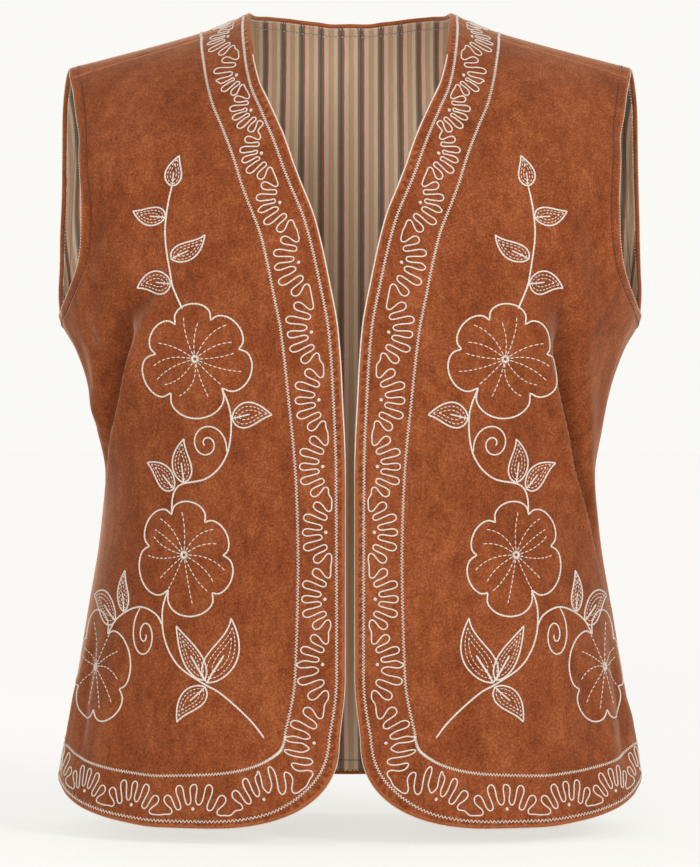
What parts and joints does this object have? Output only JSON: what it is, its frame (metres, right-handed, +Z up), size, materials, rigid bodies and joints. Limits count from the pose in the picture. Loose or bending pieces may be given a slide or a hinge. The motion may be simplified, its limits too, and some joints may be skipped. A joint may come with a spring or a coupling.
{
  "type": "embroidered waistcoat",
  "caption": "Sleeveless open-front waistcoat of soft pile cloth, with a curved hem, a striped lining and thread embroidery down both fronts.",
  "frame": {"origin": "on the centre line, level with the two points where the neck edge crosses the shoulders, midway between the front and the back", "axes": "+X to the wearer's left, -Y out of the front, +Z up"},
  "size_m": [0.4152, 0.2571, 0.5656],
  "materials": {
    "pile_rust": "matte",
    "striped_lining": "satin"
  },
  "bodies": {
    "root": {"front_right": "pile_rust", "front_left": "pile_rust", "back": "pile_rust", "lining_back": "striped_lining"}
  },
  "joints": []
}
